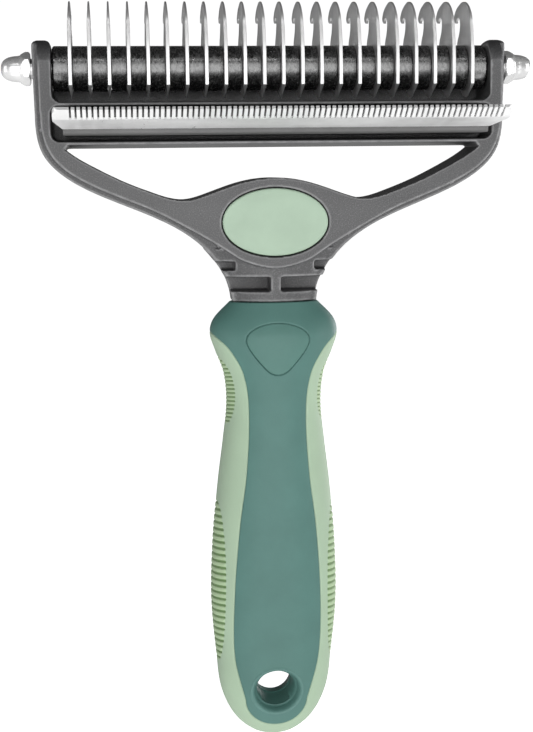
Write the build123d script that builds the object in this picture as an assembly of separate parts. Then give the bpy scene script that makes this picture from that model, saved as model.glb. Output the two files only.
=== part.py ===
from build123d import *
import math
import os

# Two-in-one deshedding and dematting comb for pets.
# Millimetres. +X to the right, +Y to the rear, +Z up the tool with the head on top.
# The origin is on the axis of the hang hole, in the middle plane of the head.

# --- head frame -----------------------------------------------------------
NECK_Z = 106.0            # seam between the handle and the frame's neck
RIM_HALF = 3.5            # half thickness of the frame's outer rim
PLATEAU_HALF = 7.5        # half thickness of the raised face inside the rim
HEAD_HALF = 59.8          # half width over the arms
ARM_INNER = 55.2          # inner face of each arm
AXLE_Z = 165.0            # axis of the comb
ARM_END_Z = 164.1         # centre of the arms' round ends
ARM_END_R = 7.9           # round end of each arm, seen from the side
ARM_CORNER_R = 1.7        # its corners, seen from the front
CHANNEL_FLOOR_Z = 156.5   # top of the crossbar, under the comb
CHANNEL_CORNER_R = 2.3
REAR_LIP_Z = 160.2        # top of the low wall behind the comb
REAR_LIP_Y = 6.2          # its front face
POCKET_TOP_Z = 155.6
POCKET_BOTTOM_Z = 146.9
POCKET_HALF = 55.6
POCKET_CORNER_R = 2.0
POCKET_FLOOR_Y = 3.2
LIP_Z = 146.1             # crossbar's lower edge at the front face
UNDERSIDE_Z = 145.2       # crossbar's lower edge at the rear face
UNDERSIDE_HALF = 51.7     # half length of the slope between them
BADGE_Z = 126.3
BADGE_A = 13.4
BADGE_B = 8.5
BADGE_SINK = 1.6
BADGE_PROUD = 0.35
BADGE_GAP = 0.3
NECK_DEPTH = 7.0
SLOT_LOW_Z, SLOT_HIGH_Z = 108.7, 112.4
NOTCH_LOW_Z, NOTCH_HIGH_Z = 114.0, 116.4
NECK_RIB_HALF = 1.25
NOTCH_X = 10.1
FRONT_SLOT_Y = 0.3        # floor of the front neck pockets
REAR_SLOT_Y = 3.5         # floor of the rear neck pockets
TANG_W, TANG_T, TANG_LENGTH = 13.0, 6.0, 48.0
TANG_PIN_R = 1.5

# --- comb -----------------------------------------------------------------
CLAW_COUNT = 22
CLAW_PITCH = 4.803
CLAW_T = 0.95
ROLLER_R = 5.6
ROLLER_END_X = 55.0
END_BEVEL = 1.5
AXLE_R = 2.5
AXLE_FLAT = 2.0           # half distance over the axle's two driving flats
AXLE_END_X = 65.2
RUNNING = 0.05            # radial clearance of the axle in the arms and nuts
NUT_AF = 7.3
NUT_START_X = 60.4
NUT_HEX = 3.0
NUT_TIP_X = 67.7
DOME_R = 3.2

# --- deshedding blade -----------------------------------------------------
BLADE_T = 0.8
BLADE_HALF = 54.3
BLADE_ROOT_Y, BLADE_BEND_Y, BLADE_TIP_Y = -2.5, -29.0, -32.0
BLADE_ROOT_Z, BLADE_BEND_Z, BLADE_TIP_Z = 149.55, 151.3, 153.4
TOOTH_COUNT = 80
TOOTH_PITCH = 1.294
TOOTH_OFFSET = 0.98
TOOTH_GAP = 0.5
TOOTH_ROOT_Z = 151.45
BLADE_CORNER = 2.1        # how much narrower the sheet is in the holder
BLADE_TIP_R = 1.8
HOLDER_HALF = 52.3
HOLDER_FRONT_Y = -16.5
HOLDER_LOW_Z, HOLDER_SPLIT_Z, HOLDER_TOP_Z = 148.2, 151.2, 154.2
CLAMP_SCREW_X = (-42.0, -14.0, 14.0, 42.0)
CLAMP_SCREW_Y = -7.5
CLAMP_HOLE_R = 1.3
HOLDER_SCREW_X = (-28.0, 0.0, 28.0)
HOLDER_SCREW_TIP_Y = -2.0

# --- handle ---------------------------------------------------------------
LEAN = math.tan(math.radians(5.0))   # the handle leans to the rear, towards its foot
WALL = 2.6                           # thickness of the shells and the soft grip
SECTION_POWER = 2.3
FOOT_Z = -15.0
HOLE_R = 5.3
SLEEVE_R = 6.4
SLEEVE_Y = (0.2, 18.4)               # ends of the sleeve, flush with the shells
CORE_GAP = 0.05
PIN_HALF = 7.5
# height, half width and half depth of the grip's sections
GRIP_SECTIONS = (
    (NECK_Z, 11.2, 7.3), (101.3, 15.6, 10.3), (97.5, 16.6, 12.0), (93.0, 15.3, 12.4),
    (87.0, 13.1, 12.0), (79.0, 12.4, 11.7), (69.0, 13.4, 12.3), (57.0, 14.9, 13.2),
    (42.0, 16.2, 13.6), (25.0, 16.75, 13.2), (9.0, 15.7, 11.3), (0.0, 14.8, 10.0),
    (-6.0, 12.8, 8.6), (-10.5, 9.9, 7.0), (-13.6, 6.1, 5.0), (FOOT_Z, 2.6, 2.6))
# height and half width of the boundary between the hard shells and the soft grip
SHELL_EDGE = (
    (98.0, 16.6), (94.0, 12.3), (87.5, 8.8), (78.0, 7.5), (62.0, 8.2), (47.0, 10.1),
    (28.0, 11.5), (10.0, 11.4), (-3.0, 8.4), (-9.2, 4.6), (-10.7, 0.0))
COLLAR_LEVELS = (NECK_Z, 104.4, 103.2, 102.0, 100.8, 99.6, 98.6)
TONGUE_LEVELS = (97.7, 96.4, 95.0, 93.5, 92.0, 90.0, 88.0, 86.0, 83.5, 81.0, 78.0, 75.0, 71.0, 67.0,
                 62.0, 57.0, 52.0, 47.0, 42.0, 37.0, 32.0, 27.0, 22.0, 17.0, 12.0, 8.0, 4.0, 1.0,
                 -2.0, -4.5, -6.5, -8.5, -10.0)
FOOT_LEVELS = (-10.0, -12.0, -13.6, -14.6, FOOT_Z)
CORE_LEVELS = COLLAR_LEVELS[2:] + TONGUE_LEVELS[:-1] + (-9.9,)

OUT = "parts"


def save(name, shape):
    """Write one sub-part to its own file."""
    shape.label = name
    export_step(shape, os.path.join(OUT, name + ".step"))


def grip_mid_y(z):
    """Middle of the handle's depth at a height."""
    return LEAN * (NECK_Z - z)


def mirrored_face(right_edges):
    """Close a right-hand outline, which starts and ends on the centre line, with its mirror image."""
    left_edges = [edge.mirror(Plane.YZ) for edge in right_edges]
    return make_face(Curve() + right_edges + left_edges)


def front_extrude(face, y0, y1):
    """Extrude an outline drawn in X and Z from depth y0 to depth y1."""
    plane = Plane(origin=(0, y1, 0), x_dir=(1, 0, 0), z_dir=(0, -1, 0))
    return extrude(plane * face, amount=y1 - y0, dir=(0, -1, 0))


def side_extrude(face, x0, x1):
    """Extrude an outline drawn in Y and Z from x0 to x1."""
    plane = Plane(origin=(x0, 0, 0), x_dir=(0, 1, 0), z_dir=(1, 0, 0))
    return extrude(plane * face, amount=x1 - x0, dir=(1, 0, 0))


def block(x0, x1, y0, y1, z0, z1):
    """A box between two corners."""
    size = Box(x1 - x0, y1 - y0, z1 - z0, align=(Align.MIN, Align.MIN, Align.MIN))
    return Pos(x0, y0, z0) * size


def x_rod(radius, x0, x1, y=0.0, z=0.0):
    """A cylinder along X."""
    rod = Cylinder(radius, x1 - x0, align=(Align.CENTER, Align.CENTER, Align.MIN))
    return Pos(x0, y, z) * Rot(0, 90, 0) * rod


def y_rod(radius, y0, y1, x=0.0, z=0.0):
    """A cylinder along Y."""
    rod = Cylinder(radius, y1 - y0, align=(Align.CENTER, Align.CENTER, Align.MIN))
    return Pos(x, y0, z) * Rot(-90, 0, 0) * rod


def z_rod(radius, z0, z1, x=0.0, y=0.0):
    """A cylinder along Z."""
    rod = Cylinder(radius, z1 - z0, align=(Align.CENTER, Align.CENTER, Align.MIN))
    return Pos(x, y, z0) * rod


# --- the head frame ---------------------------------------------------------
def rim_face():
    """Outline of the whole frame: neck, spreading branches and straight arms."""
    branch = Spline([(10.9, NECK_Z), (12.0, 111.0), (14.7, 116.0), (18.2, 120.0), (23.4, 124.0),
                     (31.1, 128.0), (40.8, 132.0), (49.3, 136.0), (54.9, 140.0), (58.0, 144.0),
                     (59.3, 148.5), (59.6, 154.0)])
    arm_top = (HEAD_HALF + 0.2, ARM_END_Z + ARM_END_R)
    return mirrored_face([Line((0, NECK_Z), branch @ 0), branch, Line(branch @ 1, arm_top),
                          Line(arm_top, (0, arm_top[1]))])


def plateau_face():
    """Outline of the raised face, which ends in a smile under the badge."""
    smile = Spline([(0, 114.7), (5.9, 115.7), (9.8, 117.4)], tangents=[(1, 0), (0.85, 0.53)])
    branch = Spline([(9.8, 117.4), (15.6, 121.2), (22.7, 125.3), (30.5, 129.4), (40.2, 133.4),
                     (48.5, 137.3), (53.8, 141.1), (56.5, 144.8), (57.8, 149.0), (58.2, 154.0)])
    arm_top = (HEAD_HALF - 1.2, ARM_END_Z + ARM_END_R)
    return mirrored_face([smile, branch, Line(branch @ 1, arm_top), Line(arm_top, (0, arm_top[1]))])


def window_face():
    """The big opening between the crossbar, the branches and the badge's hub."""
    hub = Spline([(0, 137.5), (9.4, 136.1), (17.2, 133.4), (22.6, 132.1), (30.5, 133.9),
                  (38.5, 137.1), (46.0, 140.9), (51.9, 144.6)], tangents=[(1, 0), (0.8, 0.6)])
    corner = ThreePointArc((51.9, 144.6), (52.2, 145.0), (51.7, UNDERSIDE_Z))
    return mirrored_face([hub, corner, Line((51.7, UNDERSIDE_Z), (0, UNDERSIDE_Z))])


def neck_block():
    """Oval neck that grows out of the handle and fades into the branches."""
    sections = []
    for z, half_width, half_depth in ((NECK_Z, 10.9, NECK_DEPTH), (110.0, 11.7, NECK_DEPTH),
                                      (114.5, 14.0, 7.0), (119.5, 18.0, 6.9)):
        sections.append(Pos(0, 0, z) * Ellipse(half_width, half_depth))
    return loft(sections)


def neck_pockets():
    """Cored-out pockets on both faces of the neck; a thin web stays between them."""
    cuts = []
    reach = 30.0
    for side in (-1, 1):
        for low, high, inner in ((SLOT_LOW_Z, SLOT_HIGH_Z, NECK_RIB_HALF),
                                 (NOTCH_LOW_Z, NOTCH_HIGH_Z, NOTCH_X)):
            x0, x1 = sorted((side * inner, side * reach))
            cuts.append(block(x0, x1, -reach, FRONT_SLOT_Y, low, high))
            cuts.append(block(x0, x1, REAR_SLOT_Y, reach, low, high))
    return cuts


def arm_profile():
    """Side view that everything in the head stays inside: straight, with a round top end."""
    arc = ThreePointArc((ARM_END_R, ARM_END_Z), (0, ARM_END_Z + ARM_END_R), (-ARM_END_R, ARM_END_Z))
    low = NECK_Z - TANG_LENGTH - 1
    foot = Polyline((-ARM_END_R, ARM_END_Z), (-ARM_END_R, low), (ARM_END_R, low), (ARM_END_R, ARM_END_Z))
    return make_face(Curve() + [arc, foot])


def arm_corners(side):
    """What rounds the two top corners of one arm, seen from the front."""
    top = ARM_END_Z + ARM_END_R
    cuts = []
    for edge, inward in ((HEAD_HALF + 0.2, -1), (ARM_INNER, 1)):
        centre = side * (edge + inward * ARM_CORNER_R)
        x0, x1 = sorted((side * (edge - inward * 0.2), centre))
        square = block(x0, x1, -20, 20, top - ARM_CORNER_R, top + 1)
        cuts.append(square - y_rod(ARM_CORNER_R, -21, 21, x=centre, z=top - ARM_CORNER_R))
    return cuts


def channel():
    """Saddle between the arms for the comb's roller."""
    width = 2 * ARM_INNER
    height = 40.0
    shape = Rectangle(width, height, align=(Align.CENTER, Align.MIN))
    shape = fillet(shape.vertices().group_by(Axis.Y)[0], CHANNEL_CORNER_R)
    return front_extrude(Pos(0, CHANNEL_FLOOR_Z) * shape, -20, 20)


def rear_lip():
    """Low wall along the saddle's rear edge, which closes the view under the roller."""
    reach = ARM_INNER + 1
    return block(-reach, reach, REAR_LIP_Y, PLATEAU_HALF, CHANNEL_FLOOR_Z - 1, REAR_LIP_Z)


def pocket():
    """Blind slot in the crossbar that takes the blade holder."""
    height = POCKET_TOP_Z - POCKET_BOTTOM_Z
    shape = RectangleRounded(2 * POCKET_HALF, height, POCKET_CORNER_R)
    middle = (POCKET_TOP_Z + POCKET_BOTTOM_Z) / 2
    return front_extrude(Pos(0, middle) * shape, -20, POCKET_FLOOR_Y)


def underside_cut():
    """Slope under the crossbar, lower towards the rear."""
    edge = PLATEAU_HALF + 1
    slope = Polygon([(-edge, UNDERSIDE_Z), (edge, UNDERSIDE_Z), (-edge, LIP_Z)], align=None)
    return side_extrude(slope, -UNDERSIDE_HALF, UNDERSIDE_HALF)


def badge_seat(side):
    """Oval recess on one face of the hub; side is -1 at the front and 1 at the rear."""
    oval = Pos(0, BADGE_Z) * Ellipse(BADGE_A + BADGE_GAP, BADGE_B + BADGE_GAP)
    y0, y1 = sorted((side * (PLATEAU_HALF - BADGE_SINK), side * (PLATEAU_HALF + 2)))
    return front_extrude(oval, y0, y1)


def round_edges(shape, edges, radius):
    """Round edges, and leave them sharp where the kernel can't."""
    try:
        rounded = fillet(edges, radius)
    except Exception:
        return shape
    return rounded if rounded.is_valid else shape


def make_head_frame():
    rim = front_extrude(rim_face() - window_face(), -RIM_HALF, RIM_HALF)
    plateau = front_extrude(plateau_face() - window_face(), -PLATEAU_HALF, PLATEAU_HALF)
    frame = rim + plateau + neck_block()
    frame = frame & side_extrude(arm_profile(), -80, 80)
    frame -= channel()
    frame += rear_lip()
    frame -= underside_cut()
    frame -= pocket()
    for cut in neck_pockets():
        frame -= cut
    for side in (-1, 1):
        frame -= badge_seat(side)
        for cut in arm_corners(side):
            frame -= cut
    frame -= x_rod(AXLE_R + RUNNING, -80, 80, z=AXLE_Z)
    for x in HOLDER_SCREW_X:
        frame -= holder_screw_hole(x)
    tang = block(-TANG_W / 2, TANG_W / 2, -TANG_T / 2, TANG_T / 2, NECK_Z - TANG_LENGTH, NECK_Z + 1)
    frame += tang
    for pin in tang_pin_places():
        frame -= y_rod(TANG_PIN_R, -20, 20, z=pin)
    return frame


def badge(side):
    """Oval inlay with a low crown."""
    oval = Pos(0, BADGE_Z) * Ellipse(BADGE_A, BADGE_B)
    y0, y1 = sorted((side * (PLATEAU_HALF - BADGE_SINK), side * (PLATEAU_HALF + BADGE_PROUD)))
    inlay = front_extrude(oval, y0, y1)
    crown = inlay.faces().sort_by(Axis.Y)[0 if side < 0 else -1].edges()
    return round_edges(inlay, crown, 0.3)


# --- the comb ----------------------------------------------------------------
def claw_face():
    """Side view of one claw, in Y and Z from the axle: a wide shank with a rearward hook."""
    heel_low = (-3.4, -7.2)
    heel_front = (-8.0, -4.45)
    front = Spline([heel_front, (-8.15, 0.0), (-7.75, 5.0), (-6.4, 10.5)])
    brow = Spline([(-6.4, 10.5), (-4.4, 14.2), (-1.2, 16.1), (2.5, 16.8), (7.2, 16.2), (10.6, 14.9),
                   (11.8, 13.5)])
    tip = ThreePointArc((11.8, 13.5), (10.4, 12.3), (9.1, 12.0))
    throat = Spline([(9.1, 12.0), (8.2, 12.9), (6.8, 13.2), (5.2, 12.6), (4.3, 11.0)])
    shank = Spline([(4.3, 11.0), (4.9, 9.1), (6.9, 6.9), (7.1, 4.0), (6.7, 1.0)])
    heel = ThreePointArc((6.7, 1.0), (3.8, -5.8), heel_low)
    return make_face(Curve() + [front, brow, tip, throat, shank, heel, Line(heel_low, heel_front)])


def driving_hole(radius, flat):
    """Round section with two flats, which keys claws and spacers to the axle."""
    return Circle(radius) & Rectangle(2 * radius + 1, 2 * flat)


def make_claw(x):
    shape = Pos(0, AXLE_Z) * (claw_face() - driving_hole(AXLE_R, AXLE_FLAT))
    return side_extrude(shape, x - CLAW_T / 2, x + CLAW_T / 2)


def claw_x(index):
    """Place of a claw's middle plane; index runs from 0 at the left."""
    return (index - (CLAW_COUNT - 1) / 2) * CLAW_PITCH


def make_spacers():
    ring = Pos(0, AXLE_Z) * (Circle(ROLLER_R) - driving_hole(AXLE_R, AXLE_FLAT))
    rings = [side_extrude(ring, claw_x(i) + CLAW_T / 2, claw_x(i + 1) - CLAW_T / 2)
             for i in range(CLAW_COUNT - 1)]
    return Compound(children=rings)


def make_end_spacer(side):
    """Outer spacer, bevelled where it passes the saddle's round corner."""
    near = claw_x(CLAW_COUNT - 1) + CLAW_T / 2
    blank = x_rod(ROLLER_R, near, ROLLER_END_X, z=AXLE_Z)
    outer_rim = blank.edges().filter_by(GeomType.CIRCLE).sort_by(Axis.X)[-1]
    blank = chamfer(outer_rim, END_BEVEL)
    hole = Pos(0, AXLE_Z) * driving_hole(AXLE_R, AXLE_FLAT)
    spacer = blank - side_extrude(hole, near - 1, ROLLER_END_X + 1)
    return spacer if side > 0 else spacer.mirror(Plane.YZ)


def make_axle():
    """Steel rod: flats between the arms, round journals and ends for the acorn nuts."""
    middle = side_extrude(Pos(0, AXLE_Z) * driving_hole(AXLE_R, AXLE_FLAT), -ROLLER_END_X, ROLLER_END_X)
    rod = middle + x_rod(AXLE_R, ROLLER_END_X, AXLE_END_X, z=AXLE_Z)
    return rod + x_rod(AXLE_R, -AXLE_END_X, -ROLLER_END_X, z=AXLE_Z)


def make_acorn_nut(side):
    """Hexagon with a domed, closed end."""
    hexagon = RegularPolygon(NUT_AF / math.sqrt(3), 6)
    body = side_extrude(Pos(0, AXLE_Z) * Rot(0, 0, 30) * hexagon, NUT_START_X, NUT_START_X + NUT_HEX)
    cone = Cone(NUT_AF * 0.72, NUT_AF * 0.42, NUT_HEX, align=(Align.CENTER, Align.CENTER, Align.MIN))
    body = body & (Pos(NUT_START_X, 0, AXLE_Z) * Rot(0, 90, 0) * cone)
    neck_end = NUT_TIP_X - DOME_R
    dome = x_rod(DOME_R, NUT_START_X + 1, neck_end, z=AXLE_Z)
    dome += Pos(neck_end, 0, AXLE_Z) * Sphere(DOME_R)
    nut = body + dome
    nut -= x_rod(AXLE_R + RUNNING, NUT_START_X - 1, AXLE_END_X + 0.3, z=AXLE_Z)
    return nut if side > 0 else nut.mirror(Plane.YZ)


# --- the deshedding blade -----------------------------------------------------
def blade_profile():
    """Side view of the sheet: flat root, gentle rise, toothed edge curled upwards."""
    middle = Polyline((BLADE_ROOT_Y, BLADE_ROOT_Z), (HOLDER_FRONT_Y - 1, BLADE_ROOT_Z),
                      (BLADE_BEND_Y, BLADE_BEND_Z), (BLADE_TIP_Y, BLADE_TIP_Z))
    path = fillet(middle.vertices().sort_by(Axis.X)[1:3], 2.0)
    return trace(path, line_width=BLADE_T)


def make_blade():
    root = Pos(0, BLADE_T / 2 + 0.05) * blade_profile()
    sheet = side_extrude(root, -BLADE_HALF, BLADE_HALF)
    sheet = sheet & blade_plan()
    first = TOOTH_OFFSET - (TOOTH_COUNT - 1) / 2 * TOOTH_PITCH
    for x in CLAMP_SCREW_X:
        sheet -= z_rod(CLAMP_HOLE_R, HOLDER_LOW_Z, HOLDER_TOP_Z, x=x, y=CLAMP_SCREW_Y)
    comb = Compound(children=[
        block(first + i * TOOTH_PITCH - TOOTH_GAP / 2, first + i * TOOTH_PITCH + TOOTH_GAP / 2,
              BLADE_TIP_Y - 3, BLADE_BEND_Y + 1.5, TOOTH_ROOT_Z, BLADE_TIP_Z + 3)
        for i in range(TOOTH_COUNT)])
    return sheet - comb


def blade_plan():
    """The sheet from above: it widens from the holder to its rounded tip corners."""
    narrow = BLADE_HALF - BLADE_CORNER
    back, shoulder, tip = BLADE_ROOT_Y + 2, BLADE_BEND_Y + 2, BLADE_TIP_Y - 0.3
    outline = Polygon([(narrow, back), (narrow, HOLDER_FRONT_Y), (BLADE_HALF, shoulder), (BLADE_HALF, tip),
                       (-BLADE_HALF, tip), (-BLADE_HALF, shoulder), (-narrow, HOLDER_FRONT_Y),
                       (-narrow, back)], align=None)
    tip_corners = outline.vertices().group_by(Axis.Y)[0]
    outline = fillet(tip_corners, BLADE_TIP_R)
    return Pos(0, 0, HOLDER_LOW_Z - 2) * extrude(outline, amount=10, dir=(0, 0, 1))


def holder_screw_hole(x):
    """Countersunk hole through the crossbar's rear wall."""
    z = (POCKET_TOP_Z + POCKET_BOTTOM_Z) / 2
    hole = y_rod(1.3, 0, 20, x=x, z=z)
    head = Cone(1.3, 2.8, 1.6, align=(Align.CENTER, Align.CENTER, Align.MIN))
    return hole + Pos(x, PLATEAU_HALF - 1.6, z) * Rot(-90, 0, 0) * head


def make_holder_screws():
    """Countersunk screws from the rear that hold the blade unit in its pocket."""
    z = (POCKET_TOP_Z + POCKET_BOTTOM_Z) / 2
    screws = []
    for x in HOLDER_SCREW_X:
        shank = y_rod(1.25, HOLDER_SCREW_TIP_Y, PLATEAU_HALF - 1.6, x=x, z=z)
        head = Cone(1.25, 2.7, 1.5, align=(Align.CENTER, Align.CENTER, Align.MIN))
        screw = shank + Pos(x, PLATEAU_HALF - 1.6, z) * Rot(-90, 0, 0) * head
        slot = block(x - 2.2, x + 2.2, PLATEAU_HALF - 0.7, PLATEAU_HALF + 1, z - 0.3, z + 0.3)
        cross = block(x - 0.3, x + 0.3, PLATEAU_HALF - 0.7, PLATEAU_HALF + 1, z - 2.2, z + 2.2)
        screws.append(screw - slot - cross)
    return Compound(children=screws)


def holder_blank(z0, z1):
    """Part of the holder's bar between two heights, with a rounded nose."""
    section = Polygon([(POCKET_FLOOR_Y, z0), (POCKET_FLOOR_Y, z1), (HOLDER_FRONT_Y, z1),
                       (HOLDER_FRONT_Y, z0)], align=None)
    return side_extrude(section, -HOLDER_HALF, HOLDER_HALF)


def make_holder(screws, clamp_screws):
    """Lower jaw, which also carries the threads of both sets of screws."""
    bar = holder_blank(HOLDER_LOW_Z, HOLDER_SPLIT_Z)
    nose = bar.edges().filter_by(Axis.X).group_by(Axis.Y)[0]
    bar = round_edges(bar, nose.sort_by(Axis.Z)[:1], 0.8)
    return bar - blade_swath() - screws - clamp_screws


def make_clamp(screws, clamp_screws):
    """Upper jaw, a strip pulled down on the blade by four screws."""
    bar = holder_blank(HOLDER_SPLIT_Z, HOLDER_TOP_Z)
    nose = bar.edges().filter_by(Axis.X).group_by(Axis.Y)[0]
    bar = round_edges(bar, nose.sort_by(Axis.Z)[-1:], 1.2)
    return bar - blade_swath() - screws - clamp_screws


def blade_swath():
    """Room for the blade's flat root between the jaws."""
    low = BLADE_ROOT_Z + 0.05
    return block(-HOLDER_HALF, HOLDER_HALF, HOLDER_FRONT_Y - 5, BLADE_ROOT_Y, low, low + BLADE_T)


def make_clamp_screws():
    """Screws that pull the upper jaw down through the blade's holes."""
    screws = []
    y = CLAMP_SCREW_Y
    for x in CLAMP_SCREW_X:
        shank = z_rod(1.0, HOLDER_LOW_Z + 0.6, HOLDER_TOP_Z - 1.2, x=x, y=y)
        head = z_rod(2.0, HOLDER_TOP_Z - 1.2, HOLDER_TOP_Z, x=x, y=y)
        screws.append(shank + head)
    return Compound(children=screws)


# --- the handle -----------------------------------------------------------------
def along(table, z, column):
    """Smooth value at a height, from a table of rows that begin with the height, top first."""
    rows = len(table)
    i = 0
    while i < rows - 2 and z < table[i + 1][0]:
        i += 1
    z0, z1 = table[i][0], table[i + 1][0]
    v0, v1 = table[i][column], table[i + 1][column]
    before, after = table[max(i - 1, 0)], table[min(i + 2, rows - 1)]
    slope0 = (v1 - before[column]) / (z1 - before[0])
    slope1 = (after[column] - v0) / (after[0] - z0)
    t = (z - z0) / (z1 - z0)
    step = z1 - z0
    return ((2 * t ** 3 - 3 * t ** 2 + 1) * v0 + (t ** 3 - 2 * t ** 2 + t) * step * slope0
            + (3 * t ** 2 - 2 * t ** 3) * v1 + (t ** 3 - t ** 2) * step * slope1)


def grip_point(z, inset, angle):
    """Point of the handle's super-elliptic section; angle 0 is +X and -90 degrees is the front."""
    cos, sin = math.cos(angle), math.sin(angle)
    half_width = along(GRIP_SECTIONS, z, 1) - inset
    half_depth = along(GRIP_SECTIONS, z, 2) - inset
    x = half_width * math.copysign(abs(cos) ** (2 / SECTION_POWER), cos)
    y = half_depth * math.copysign(abs(sin) ** (2 / SECTION_POWER), sin)
    return (x, y + grip_mid_y(z), z)


def edge_angle(z):
    """Angle from the side at which the hard shell meets the soft grip."""
    if z >= SHELL_EDGE[0][0]:
        return 0.0
    share = min(1.0, along(SHELL_EDGE, z, 1) / along(GRIP_SECTIONS, z, 1))
    return math.acos(share ** (SECTION_POWER / 2))


def sector(z, start, end, outer_inset, inner_inset):
    """Face across the wall between two angles."""
    steps = 12
    angles = [start + (end - start) * i / steps for i in range(steps + 1)]
    outer = Spline([grip_point(z, outer_inset, a) for a in angles])
    inner = Spline([grip_point(z, inner_inset, a) for a in reversed(angles)])
    return make_face(Curve() + [outer, Line(outer @ 1, inner @ 0), inner, Line(inner @ 1, outer @ 0)])


def full_section(z, inset):
    """Face across the whole handle."""
    steps = 24
    points = [grip_point(z, inset, 2 * math.pi * (i + 0.4) / steps) for i in range(steps)]
    return make_face(Spline(points, periodic=True))


def make_shell(side):
    """Hard front or rear shell: half of the collar above a long tongue."""
    sections = []
    for z in COLLAR_LEVELS + TONGUE_LEVELS:
        start = edge_angle(z)
        sections.append(sector(z, side * start, side * (math.pi - start), 0.0, WALL))
    return loft(sections, ruled=True)


def make_side_grip():
    """Soft grip: one strip along each side, joined round the foot."""
    seam = 0.02
    root = 0.3
    strips = []
    for middle in (0.0, math.pi):
        sections = []
        for z in TONGUE_LEVELS[:-1] + (TONGUE_LEVELS[-1] - root,):
            half = edge_angle(z) - seam / along(GRIP_SECTIONS, z, 1)
            sections.append(sector(z, middle - half, middle + half, 0.03, WALL))
        strips.append(loft(sections, ruled=True))
    foot = loft([full_section(z, 0.0) for z in FOOT_LEVELS])
    return foot.fuse(*strips)


def pad_zone(side):
    """Rounded triangle, point down, that the thumb pad fills through the shell's wall."""
    shape = Polygon([(-10.4, 101.0), (10.4, 101.0), (0.0, 84.6)], align=None)
    shape = fillet(shape.vertices(), 3.4)
    y0, y1 = sorted((side * 4.0, side * 40.0))
    return front_extrude(shape, y0, y1)


def tang_pin_places():
    """Heights of the two cross pins through the tang."""
    return (NECK_Z - 14.0, NECK_Z - 38.0)


def make_handle():
    """All pieces of the handle, by name."""
    pieces = {}
    sleeve_hole = y_rod(SLEEVE_R, -30, 50)
    for name, side in (("front", -1), ("rear", 1)):
        shell = make_shell(side)
        pieces[name + "_thumb_pad"] = shell & pad_zone(side)
        pieces[name + "_grip_shell"] = shell - pad_zone(side) - sleeve_hole
    pieces["side_grip"] = make_side_grip() - sleeve_hole
    tang = block(-TANG_W / 2, TANG_W / 2, -TANG_T / 2, TANG_T / 2, NECK_Z - TANG_LENGTH, NECK_Z + 1)
    core = loft([full_section(z, WALL + CORE_GAP) for z in CORE_LEVELS], ruled=True)
    core = core - tang - sleeve_hole
    pins = []
    for z in tang_pin_places():
        middle = grip_mid_y(z)
        pins.append(y_rod(TANG_PIN_R, middle - PIN_HALF, middle + PIN_HALF, z=z))
        core -= y_rod(TANG_PIN_R, -30, 30, z=z)
    pieces["handle_core"] = core
    pieces["tang_pins"] = Compound(children=pins)
    front, rear = SLEEVE_Y
    pieces["hang_hole_sleeve"] = y_rod(SLEEVE_R, front, rear) - y_rod(HOLE_R, front - 1, rear + 1)
    return pieces


def main():
    os.makedirs(OUT, exist_ok=True)
    save("head_frame", make_head_frame())
    save("front_badge", badge(-1))
    save("rear_badge", badge(1))
    save("comb_axle", make_axle())
    save("acorn_nut_left", make_acorn_nut(-1))
    save("acorn_nut_right", make_acorn_nut(1))
    for index in range(CLAW_COUNT):
        save(f"claw_{index + 1:02d}", make_claw(claw_x(index)))
    save("claw_spacers", make_spacers())
    save("end_spacer_left", make_end_spacer(-1))
    save("end_spacer_right", make_end_spacer(1))
    blade = make_blade()
    screws = make_holder_screws()
    clamp_screws = make_clamp_screws()
    save("deshedding_blade", blade)
    save("holder_screws", screws)
    save("clamp_screws", clamp_screws)
    save("blade_holder", make_holder(screws, clamp_screws))
    save("blade_clamp", make_clamp(screws, clamp_screws))
    for name, piece in make_handle().items():
        save(name, piece)


main()
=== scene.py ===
import math

import bmesh
import bpy
import numpy as np
from mathutils import Matrix, Vector
from mathutils.kdtree import KDTree


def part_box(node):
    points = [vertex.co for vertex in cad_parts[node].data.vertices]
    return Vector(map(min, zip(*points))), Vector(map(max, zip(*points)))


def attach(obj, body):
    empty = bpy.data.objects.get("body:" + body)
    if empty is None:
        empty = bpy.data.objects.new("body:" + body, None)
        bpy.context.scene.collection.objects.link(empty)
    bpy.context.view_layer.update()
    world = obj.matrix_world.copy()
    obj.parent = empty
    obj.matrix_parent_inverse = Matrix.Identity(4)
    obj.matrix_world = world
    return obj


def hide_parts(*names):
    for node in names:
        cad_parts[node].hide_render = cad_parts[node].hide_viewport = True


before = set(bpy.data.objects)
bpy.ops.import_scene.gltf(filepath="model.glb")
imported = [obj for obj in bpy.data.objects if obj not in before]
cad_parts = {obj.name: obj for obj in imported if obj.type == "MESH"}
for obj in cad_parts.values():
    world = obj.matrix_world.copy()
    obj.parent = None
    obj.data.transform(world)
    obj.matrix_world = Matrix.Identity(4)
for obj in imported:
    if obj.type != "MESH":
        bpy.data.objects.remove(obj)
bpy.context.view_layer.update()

# Two-in-one deshedding and dematting comb. Shapes below are in millimetres in the part's own
# frame; MM turns them into Blender's metres.
MM = 0.001


def cad_span(node):
    """Lowest and highest corner of a CAD node in millimetres."""
    low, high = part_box(node)
    return np.array(low) / MM, np.array(high) / MM


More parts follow.
